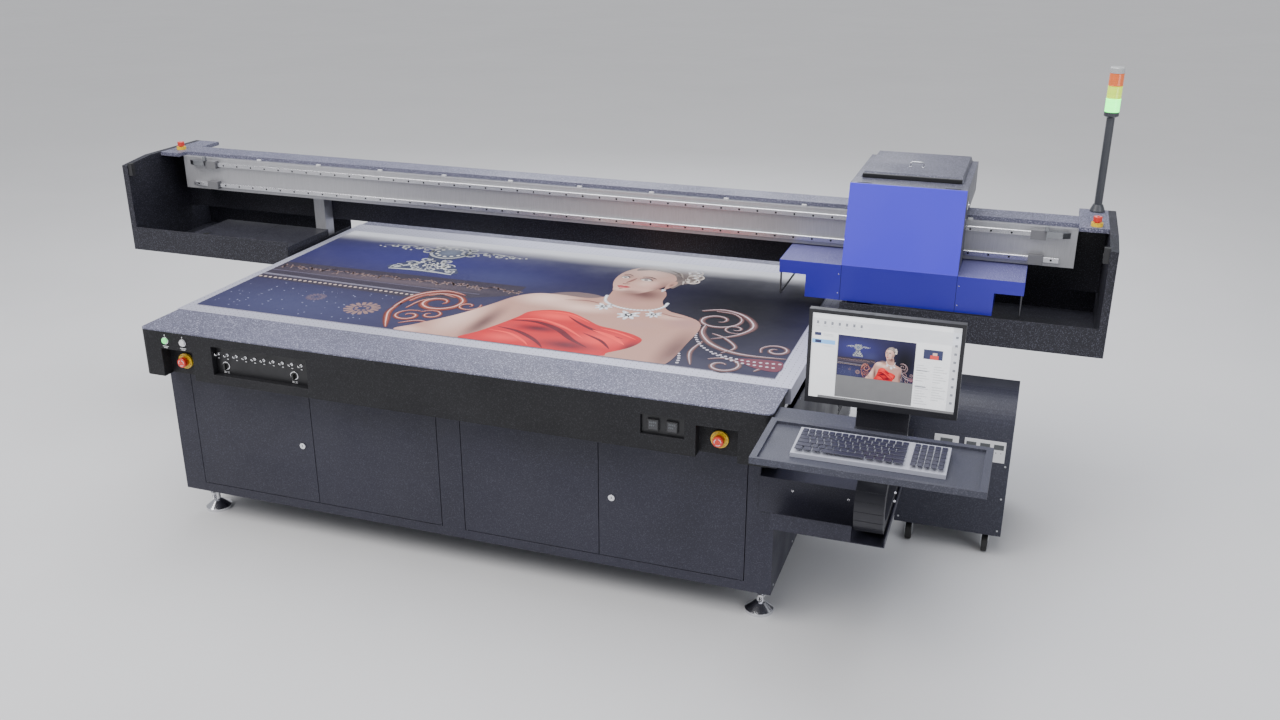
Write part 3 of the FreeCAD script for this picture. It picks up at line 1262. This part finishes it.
def rail_block(left, height):
    """Bearing block that grips one rail from the front."""
    half = X_RAIL_HEIGHT / 2
    body = block(
        left,
        CARRIAGE_BACK_PLATE,
        height - half - BLOCK_WALL,
        left + BLOCK_WIDTH,
        BEAM_FRONT - BLOCK_BEAM_GAP,
        height + half + BLOCK_WALL,
    )
    groove = block(
        left,
        BEAM_FRONT - X_RAIL_DEPTH - SLIDE_CLEARANCE,
        height - half - SLIDE_CLEARANCE,
        left + BLOCK_WIDTH,
        BEAM_FRONT,
        height + half + SLIDE_CLEARANCE,
    )
    return body.cut(groove)


def carriage_cover():
    """Coloured front cover: an upright apron below a leaning panel."""
    front = CARRIAGE_FRONT
    back = front + CARRIAGE_COVER
    apron = [
        (front, CARRIAGE_BOTTOM),
        (back, CARRIAGE_BOTTOM),
        (back, CARRIAGE_KNEE),
        (front, CARRIAGE_KNEE),
    ]
    panel = [
        (front, CARRIAGE_KNEE),
        (back, CARRIAGE_KNEE),
        (back + CARRIAGE_LEAN, CARRIAGE_TOP),
        (front + CARRIAGE_LEAN, CARRIAGE_TOP),
    ]
    return [prism_x(apron, CARRIAGE_LEFT, CARRIAGE_RIGHT), prism_x(panel, CARRIAGE_LEFT, CARRIAGE_RIGHT)]


def lamp_cover_right():
    """Side wing over an ultraviolet lamp, open underneath, with an outer overhang."""
    inner = CARRIAGE_RIGHT
    outer = inner + WING_WIDTH
    step = outer - WING_OVERHANG
    rear = CARRIAGE_FRONT + WING_DEPTH
    outline = [
        (inner, CARRIAGE_BOTTOM),
        (step, CARRIAGE_BOTTOM),
        (step, WING_BOTTOM),
        (outer, WING_BOTTOM),
        (outer, WING_TOP),
        (inner, WING_TOP),
    ]
    wing = prism_y(outline, CARRIAGE_FRONT, rear)
    lamp_space = block(
        inner + SHEET,
        CARRIAGE_FRONT + SHEET,
        CARRIAGE_BOTTOM,
        step - SHEET,
        rear - SHEET,
        WING_TOP - SHEET,
    )
    lamp = block(
        inner + LAMP_SIDE_GAP,
        CARRIAGE_FRONT + LAMP_END_GAP,
        CARRIAGE_BOTTOM + LAMP_BOTTOM_GAP,
        step - LAMP_SIDE_GAP,
        rear - LAMP_END_GAP,
        WING_TOP - SHEET,
    )
    return [wing.cut(lamp_space), lamp]


def print_heads():
    """Head plate with rows of print heads, and the ink sub-tank block above it."""
    left = CARRIAGE_LEFT + CARRIAGE_SHEET + INNER_GAP
    right = CARRIAGE_RIGHT - CARRIAGE_SHEET - INNER_GAP
    front = CARRIAGE_FRONT + CARRIAGE_COVER + CARRIAGE_SHEET + INNER_GAP
    rear = CARRIAGE_BACK_PLATE - CARRIAGE_SHEET - INNER_GAP
    plate_bottom = CARRIAGE_BOTTOM + HEAD_DROP
    plate_top = plate_bottom + HEAD_PLATE_THICKNESS
    solids = [block(left, front, plate_bottom, right, rear, plate_top)]
    pitch_x = (right - left) / HEAD_COLUMNS
    pitch_y = (rear - front) / HEAD_ROWS
    for column in range(HEAD_COLUMNS):
        for row in range(HEAD_ROWS):
            x = left + (column + 0.5) * pitch_x
            y = front + (row + 0.5) * pitch_y
            solids.append(
                block(
                    x - HEAD_WIDTH / 2,
                    y - HEAD_DEPTH / 2,
                    CARRIAGE_BOTTOM + HEAD_BOTTOM_GAP,
                    x + HEAD_WIDTH / 2,
                    y + HEAD_DEPTH / 2,
                    plate_bottom,
                )
            )
    tank = block(
        left + TANK_SIDE_INSET,
        front + TANK_END_INSET,
        plate_top,
        right - TANK_SIDE_INSET,
        rear - TANK_END_INSET,
        plate_top + TANK_HEIGHT,
    )
    return solids + [tank]


def bumper_bars():
    """Round-bar guard that hangs under the outer end of each wing."""
    radius = BUMPER_RADIUS
    x = CARRIAGE_RIGHT + WING_WIDTH - radius - BUMPER_INSET
    front = CARRIAGE_FRONT + radius + BUMPER_END_GAP
    rear = CARRIAGE_FRONT + WING_DEPTH - radius - BUMPER_END_GAP
    low = CARRIAGE_BOTTOM + radius
    guard = rod(x, front, low, (0, 0, 1), radius, WING_BOTTOM - low)
    guard = guard.fuse(rod(x, rear, low, (0, 0, 1), radius, WING_BOTTOM - low))
    guard = guard.fuse(rod(x, front, low, (0, 1, 0), radius, rear - front))
    for y in (front, rear):
        guard = guard.fuse(Part.makeSphere(radius, Vector(x, y, low)))
    return both_sides(guard, CARRIAGE_MIDDLE)


def carriage_lid():
    """Lid with a bevelled front and sides, hinged along its rear edge."""
    left = CARRIAGE_LEFT + LID_INSET_SIDE
    right = CARRIAGE_RIGHT - LID_INSET_SIDE
    bottom = CARRIAGE_TOP + SLIDE_CLEARANCE
    top = bottom + LID_HEIGHT
    rear = CARRIAGE_REAR - LID_REAR_GAP
    outline = [
        (left, bottom),
        (right, bottom),
        (right - LID_BEVEL, top),
        (left + LID_BEVEL, top),
    ]
    lid = prism_y(outline, LID_FRONT, rear)
    nose = prism_x([(LID_FRONT, bottom), (LID_FRONT + LID_FRONT_BEVEL, top), (LID_FRONT, top)], left, right)
    hollow = block(
        left + LID_WALL_SIDE,
        LID_FRONT + LID_WALL_FRONT,
        bottom,
        right - LID_WALL_SIDE,
        rear - LID_WALL_REAR,
        top - SHEET,
    )
    return [lid.cut(nose).cut(hollow)]


# ---- monitor, keyboard and tray ----
def keyboard_tray():
    """Rimmed tray and the bracket that hangs it from the table's right end."""
    rim_top = KEY_TRAY_TOP + KEY_TRAY_RIM
    tray = block(KEY_TRAY_LEFT, KEY_TRAY_FRONT, KEY_TRAY_BOTTOM, KEY_TRAY_RIGHT, KEY_TRAY_REAR, rim_top)
    tray = tray.cut(
        block(
            KEY_TRAY_LEFT + KEY_TRAY_RIM_WIDTH,
            KEY_TRAY_FRONT + KEY_TRAY_FRONT_RIM_WIDTH,
            KEY_TRAY_TOP,
            KEY_TRAY_RIGHT - KEY_TRAY_RIM_WIDTH,
            KEY_TRAY_REAR - KEY_TRAY_RIM_WIDTH,
            rim_top,
        )
    )
    bracket = block(
        TABLE_HALF_WIDTH,
        KEY_TRAY_REAR - TRAY_BRACKET_OVERLAP,
        FASCIA_BOTTOM + TRAY_BRACKET_ABOVE_EDGE,
        STAND_LEFT - SHADOW_GAP,
        CABINET_SETBACK - TRAY_BRACKET_REAR_GAP,
        KEY_TRAY_BOTTOM,
    )
    return [tray, bracket]


def keyboard():
    rear = KEYBOARD_FRONT + KEYBOARD_DEPTH
    outline = [
        (KEYBOARD_FRONT, KEY_TRAY_TOP),
        (rear, KEY_TRAY_TOP),
        (rear, KEY_TRAY_TOP + KEYBOARD_REAR_HEIGHT),
        (KEYBOARD_FRONT, KEY_TRAY_TOP + KEYBOARD_FRONT_HEIGHT),
    ]
    return [prism_x(outline, KEYBOARD_LEFT, KEYBOARD_LEFT + KEYBOARD_WIDTH)]


def monitor_stand():
    """Stand plate behind the tray, its foot and the two ears of the tilt joint."""
    plate_front = PIVOT_Y - STAND_THICKNESS / 2
    plate_back = PIVOT_Y + STAND_THICKNESS / 2
    foot_bottom = KEY_TRAY_BOTTOM - STAND_FOOT_HEIGHT
    top = MONITOR_BOTTOM - STAND_TOP_GAP
    plate = block(STAND_LEFT, plate_front, foot_bottom, STAND_RIGHT, plate_back, top)
    foot_front = KEY_TRAY_REAR - TRAY_BRACKET_OVERLAP
    stand = plate.fuse(block(STAND_LEFT, foot_front, foot_bottom, STAND_RIGHT, plate_front, KEY_TRAY_BOTTOM))
    ear_top = PIVOT_Z + STAND_TAB_TOP
    for x in (STAND_LEFT + STAND_TAB_INSET, STAND_RIGHT - STAND_TAB_INSET - STAND_TAB_WIDTH):
        ear = block(x, plate_front, top, x + STAND_TAB_WIDTH, plate_back, ear_top)
        bore_radius = MONITOR_PIVOT_RADIUS + SHAFT_CLEARANCE
        bore = rod(x, PIVOT_Y, PIVOT_Z, (1, 0, 0), bore_radius, STAND_TAB_WIDTH)
        stand = stand.fuse(ear.cut(bore))
    return [stand.removeSplitter()]


def monitor_housing():
    """Flat monitor with a tilt block between the stand's ears and a pin through them."""
    right = MONITOR_LEFT + MONITOR_WIDTH
    back = MONITOR_FRONT + MONITOR_THICKNESS
    top = MONITOR_BOTTOM + MONITOR_HEIGHT
    case = block(MONITOR_LEFT, MONITOR_FRONT, MONITOR_BOTTOM, right, back, top)
    screen = block(
        MONITOR_LEFT + SCREEN_BEZEL,
        MONITOR_FRONT,
        MONITOR_BOTTOM + SCREEN_CHIN,
        right - SCREEN_BEZEL,
        MONITOR_FRONT + SCREEN_DEPTH,
        top - SCREEN_BEZEL,
    )
    ear_inset = STAND_TAB_INSET + STAND_TAB_WIDTH + SHADOW_GAP
    half = MONITOR_PIVOT_RADIUS + KNUCKLE_WALL
    knuckle = block(
        STAND_LEFT + ear_inset,
        back,
        PIVOT_Z - half,
        STAND_RIGHT - ear_inset,
        PIVOT_Y + half,
        PIVOT_Z + half,
    )
    pin_left = STAND_LEFT + STAND_TAB_INSET
    pin_length = STAND_WIDTH - 2 * STAND_TAB_INSET
    pin = rod(pin_left, PIVOT_Y, PIVOT_Z, (1, 0, 0), MONITOR_PIVOT_RADIUS, pin_length)
    return [case.cut(screen).fuse([knuckle, pin])]


# ---- cable support, chain and ink cabinet ----
def chain_support():
    """Cable duct out of the cabinet's corner, and the trough that carries the chain."""
    duct = tube_x(DUCT_LEFT, DUCT_RIGHT, DUCT_FRONT, DUCT_BOTTOM, DUCT_DEPTH, DUCT_HEIGHT, SHEET)
    end_cap = block(
        DUCT_RIGHT - SHEET,
        DUCT_FRONT + SHEET,
        DUCT_BOTTOM + SHEET,
        DUCT_RIGHT,
        DUCT_REAR - SHEET,
        DUCT_TOP - SHEET,
    )
    floor_top = TROUGH_BOTTOM + SHEET
    lip_top = TROUGH_BOTTOM + TROUGH_LIP
    lip_right = CHAIN_LEFT - CHAIN_LIP_GAP
    lip_back = TROUGH_FRONT + SHEET
    side_top = TROUGH_BOTTOM + TROUGH_SIDE
    floor = block(TROUGH_LEFT, TROUGH_FRONT, TROUGH_BOTTOM, TROUGH_RIGHT, TROUGH_REAR, floor_top)
    lip = block(TROUGH_LEFT, TROUGH_FRONT, TROUGH_BOTTOM, lip_right, lip_back, lip_top)
    side = block(TROUGH_RIGHT - SHEET, TROUGH_FRONT, TROUGH_BOTTOM, TROUGH_RIGHT, TROUGH_REAR, side_top)
    hanger_front = TROUGH_REAR - TROUGH_HANGER
    hanger = block(CABINET_HALF_WIDTH, hanger_front, TROUGH_BOTTOM, TROUGH_LEFT, TROUGH_REAR, lip_top)
    pad = block(TROUGH_LEFT, DUCT_FRONT, floor_top, DUCT_RIGHT, DUCT_REAR, DUCT_BOTTOM)
    return [duct.fuse(end_cap).removeSplitter(), floor.fuse([lip, side]).removeSplitter(), hanger, pad]


def energy_chain():
    """Two straight runs joined by the half-round bend that faces the operator."""
    radius = CHAIN_BEND_RADIUS
    middle_z = CHAIN_BOTTOM + radius
    top = middle_z + radius
    bend = rod(CHAIN_LEFT, radius, middle_z, (1, 0, 0), radius, CHAIN_WIDTH)
    bend = bend.cut(rod(CHAIN_LEFT, radius, middle_z, (1, 0, 0), radius - CHAIN_HEIGHT, CHAIN_WIDTH))
    bend = bend.cut(block(CHAIN_LEFT, radius, CHAIN_BOTTOM, CHAIN_RIGHT, 2 * radius, top))
    lower = block(CHAIN_LEFT, radius, CHAIN_BOTTOM, CHAIN_RIGHT, CHAIN_REAR, CHAIN_BOTTOM + CHAIN_HEIGHT)
    upper = block(CHAIN_LEFT, radius, top - CHAIN_HEIGHT, CHAIN_RIGHT, CHAIN_REAR, top)
    return [bend, lower, upper]


def ink_cabinet():
    """Sheet-metal cabinet on casters, with two hinge ears for its hood."""
    case = block(INK_LEFT, INK_FRONT, INK_BOTTOM, INK_RIGHT, INK_REAR, INK_TOP)
    space = block(
        INK_LEFT + SHEET,
        INK_FRONT + SHEET,
        INK_BOTTOM + SHEET,
        INK_RIGHT - SHEET,
        INK_REAR - SHEET,
        INK_TOP - SHEET,
    )
    mouth = block(
        INK_LEFT + INK_MOUTH_RIM,
        INK_FRONT + INK_MOUTH_RIM,
        INK_TOP - SHEET,
        INK_RIGHT - INK_MOUTH_RIM,
        HOOD_REAR - INK_MOUTH_RIM,
        INK_TOP,
    )
    case = case.cut(space).cut(mouth)
    ear_front = HOOD_PIN_Y - HOOD_EAR_HALF
    ear_back = HOOD_PIN_Y + HOOD_EAR_HALF
    ear_top = HOOD_PIN_Z + HOOD_EAR_HALF
    for x in (INK_LEFT + HOOD_PIN_INSET, INK_RIGHT - HOOD_PIN_INSET - HOOD_EAR_WIDTH):
        case = case.fuse(block(x, ear_front, INK_TOP, x + HOOD_EAR_WIDTH, ear_back, ear_top))
    pin_length = INK_WIDTH - 2 * HOOD_PIN_INSET
    pin = rod(INK_LEFT + HOOD_PIN_INSET, HOOD_PIN_Y, HOOD_PIN_Z, (1, 0, 0), HOOD_PIN_RADIUS, pin_length)
    return [case.fuse(pin)]


def hood_outline(inset):
    """Side view of the hood: rounded front shoulder, flat top and upright back."""
    front = INK_FRONT + inset
    bottom = INK_TOP + SLIDE_CLEARANCE
    top = INK_TOP + HOOD_HEIGHT - inset
    rear = HOOD_REAR - inset
    radius = HOOD_RADIUS - inset
    points = [(rear, bottom), (front, bottom)]
    for index in range(HOOD_ARC_STEPS + 1):
        angle = math.pi - math.pi / 2 * index / HOOD_ARC_STEPS
        points.append((front + radius + radius * math.cos(angle), top - radius + radius * math.sin(angle)))
    points.append((rear, top))
    return points


def ink_cabinet_hood():
    """Hollow hood with a long knuckle round the hinge pin behind it."""
    hood = prism_x(hood_outline(0.0), INK_LEFT, INK_RIGHT)
    hood = hood.cut(prism_x(hood_outline(SHEET), INK_LEFT + SHEET, INK_RIGHT - SHEET))
    knuckle_inset = HOOD_PIN_INSET + HOOD_EAR_WIDTH + SHADOW_GAP
    left = INK_LEFT + knuckle_inset
    length = INK_WIDTH - 2 * knuckle_inset
    knuckle = rod(left, HOOD_PIN_Y, HOOD_PIN_Z, (1, 0, 0), HOOD_KNUCKLE_RADIUS, length)
    strap_low = HOOD_PIN_Z - HOOD_STRAP_HALF
    strap_high = HOOD_PIN_Z + HOOD_STRAP_HALF
    strap = block(left, HOOD_REAR - SHEET, strap_low, left + length, HOOD_PIN_Y, strap_high)
    bore_radius = HOOD_PIN_RADIUS + SHAFT_CLEARANCE
    bore = rod(left, HOOD_PIN_Y, HOOD_PIN_Z, (1, 0, 0), bore_radius, length)
    return [hood.fuse([knuckle, strap]).cut(bore).removeSplitter()]


def caster_places():
    places = []
    for y in (INK_FRONT + CASTER_INSET_Y, INK_REAR - CASTER_INSET_Y):
        for x in (INK_LEFT + CASTER_INSET_X, INK_RIGHT - CASTER_INSET_X):
            places.append((x, y))
    return places


def caster_forks():
    """Top plate, two cheeks and the axle of each caster."""
    forks = []
    half = WHEEL_WIDTH / 2 + SHADOW_GAP
    plate_half = CASTER_PLATE / 2
    plate_bottom = INK_BOTTOM - CASTER_PLATE_THICKNESS
    cheek_bottom = WHEEL_RADIUS - FORK_BELOW_AXLE
    cheek_half = FORK_WIDTH / 2
    for x, y in caster_places():
        fork = block(x - plate_half, y - plate_half, plate_bottom, x + plate_half, y + plate_half, INK_BOTTOM)
        for left in (x - half - FORK_THICKNESS, x + half):
            right = left + FORK_THICKNESS
            fork = fork.fuse(block(left, y - cheek_half, cheek_bottom, right, y + cheek_half, plate_bottom))
        axle_reach = half + WHEEL_AXLE_TAIL
        axle = rod(x - axle_reach, y, WHEEL_RADIUS, (1, 0, 0), WHEEL_AXLE_RADIUS, 2 * axle_reach)
        forks.append(fork.fuse(axle))
    return forks


def caster_wheels(row):
    wheels = []
    bore_radius = WHEEL_AXLE_RADIUS + SHAFT_CLEARANCE
    for x, y in caster_places()[2 * row:2 * row + 2]:
        left = x - WHEEL_WIDTH / 2
        wheel = rod(left, y, WHEEL_RADIUS, (1, 0, 0), WHEEL_RADIUS, WHEEL_WIDTH)
        rims = [edge for edge in wheel.Edges if edge.BoundBox.XLength < WHEEL_WIDTH / 2]
        wheel = wheel.makeFillet(WHEEL_ROUND, rims)
        wheels.append(wheel.cut(rod(left, y, WHEEL_RADIUS, (1, 0, 0), bore_radius, WHEEL_WIDTH)))
    return wheels


# ---- pieces inside the cabinet ----
def vacuum_blower():
    """Side-channel blower on two feet, with its motor behind and its suction port on top."""
    axis_z = CABINET_FLOOR + BLOWER_RADIUS + BLOWER_FLOOR_GAP
    middle_y = POST_REAR_Y - BLOWER_REAR_GAP
    front = middle_y - BLOWER_LENGTH / 2
    rear = front + BLOWER_LENGTH
    drum = rod(BLOWER_X, front, axis_z, (0, 1, 0), BLOWER_RADIUS, BLOWER_LENGTH)
    motor = rod(BLOWER_X, rear, axis_z, (0, 1, 0), MOTOR_RADIUS, MOTOR_LENGTH)
    port = rod(BLOWER_X, middle_y, axis_z, (0, 0, 1), PORT_RADIUS, PORT_HEIGHT)
    body = drum.fuse([motor, port])
    foot_top = axis_z - BLOWER_FOOT_RISE
    for left in (BLOWER_X - BLOWER_FOOT_INSET - BLOWER_FOOT_WIDTH, BLOWER_X + BLOWER_FOOT_INSET):
        foot = block(left, front, CABINET_FLOOR, left + BLOWER_FOOT_WIDTH, rear, foot_top)
        body = body.fuse(foot)
    return [body.removeSplitter()]


def electronics_box():
    rear = POST_REAR_Y - ELECTRONICS_REAR_GAP
    front = rear - ELECTRONICS_DEPTH
    left = -BAY_MIDDLE - ELECTRONICS_WIDTH / 2
    right = left + ELECTRONICS_WIDTH
    top = CABINET_FLOOR + ELECTRONICS_HEIGHT
    outer = block(left, front, CABINET_FLOOR, right, rear, top)
    inner = block(left + SHEET, front + SHEET, CABINET_FLOOR, right - SHEET, rear - SHEET, top - SHEET)
    return [outer.cut(inner)]


def save(node, solids):
    """Move one node's solids to the stored origin and write them to its file."""
    shape = solids[0] if len(solids) == 1 else Part.makeCompound(solids)
    shape = shape.copy()
    shape.translate(ORIGIN_SHIFT)
    shape.exportStep("parts/" + node + ".step")


def nodes():
    """Every node's name with its solids."""
    right_panel = end_panel_right()
    right_wing = lamp_cover_right()
    return {
        "base_frame": base_frame(),
        "cabinet_shell": cabinet_shell(),
        "levelling_feet": levelling_feet(),
        "front_fascia": front_fascia(),
        "table_top_covers": table_top_covers(),
        "bed_plate": bed_plate(),
        "printed_board": printed_board(),
        "y_rails": y_rails(),
        "door_hinge_pins": door_hinge_pins(),
        "door_1": door(0, True),
        "door_2": door(1, False),
        "door_3": door(2, False),
        "door_4": door(3, True),
        "door_lock_left": door_lock(0),
        "door_lock_right": door_lock(3),
        "control_panels": control_panels(),
        "vacuum_switch_levers": vacuum_switch_levers(),
        "selector_left": selector(SELECTOR_LEFT_X),
        "selector_right": selector(SELECTOR_RIGHT_X),
        "power_button": push_button(POWER_BUTTON_X),
        "reset_button": push_button(RESET_BUTTON_X),
        "estop_collars_front": estop_collars_front(),
        "estop_front_left": estop_front(ESTOP_LEFT_X),
        "estop_front_right": estop_front(ESTOP_RIGHT_X),
        "keyboard_tray": keyboard_tray(),
        "keyboard": keyboard(),
        "monitor_stand": monitor_stand(),
        "monitor_housing": monitor_housing(),
        "chain_support": chain_support(),
        "energy_chain": energy_chain(),
        "ink_cabinet": ink_cabinet(),
        "ink_cabinet_hood": ink_cabinet_hood(),
        "caster_forks": caster_forks(),
        "caster_wheels_front": caster_wheels(0),
        "caster_wheels_rear": caster_wheels(1),
        "vacuum_blower": vacuum_blower(),
        "electronics_box": electronics_box(),
        "gantry_beam": gantry_beam(),
        "gantry_top_cap": gantry_top_cap(),
        "gantry_rear_panel": gantry_rear_panel(),
        "end_panel_right": [right_panel],
        "end_panel_left": [mirrored(right_panel, GANTRY_MIDDLE)],
        "tray_right": tray_right(),
        "tray_left": tray_left(),
        "gantry_bearings": gantry_bearings(),
        "x_rails": x_rails(),
        "end_stops": end_stops(),
        "laser_sensors": laser_sensors(),
        "estop_collars_gantry": estop_collars_gantry(),
        "estop_gantry_left": estop_gantry(GANTRY_ESTOP_LEFT),
        "estop_gantry_right": estop_gantry(GANTRY_ESTOP_RIGHT),
        "signal_tower_pole": signal_tower_pole(),
        "signal_tower_lenses": signal_tower_lenses(),
        "carriage_body": carriage_body(),
        "carriage_cover": carriage_cover(),
        "lamp_cover_right": right_wing,
        "lamp_cover_left": [mirrored(solid, CARRIAGE_MIDDLE) for solid in right_wing],
        "print_heads": print_heads(),
        "bumper_bars": bumper_bars(),
        "carriage_lid": carriage_lid(),
    }


os.makedirs("parts", exist_ok=True)
for node_name, node_solids in nodes().items():
    save(node_name, node_solids)
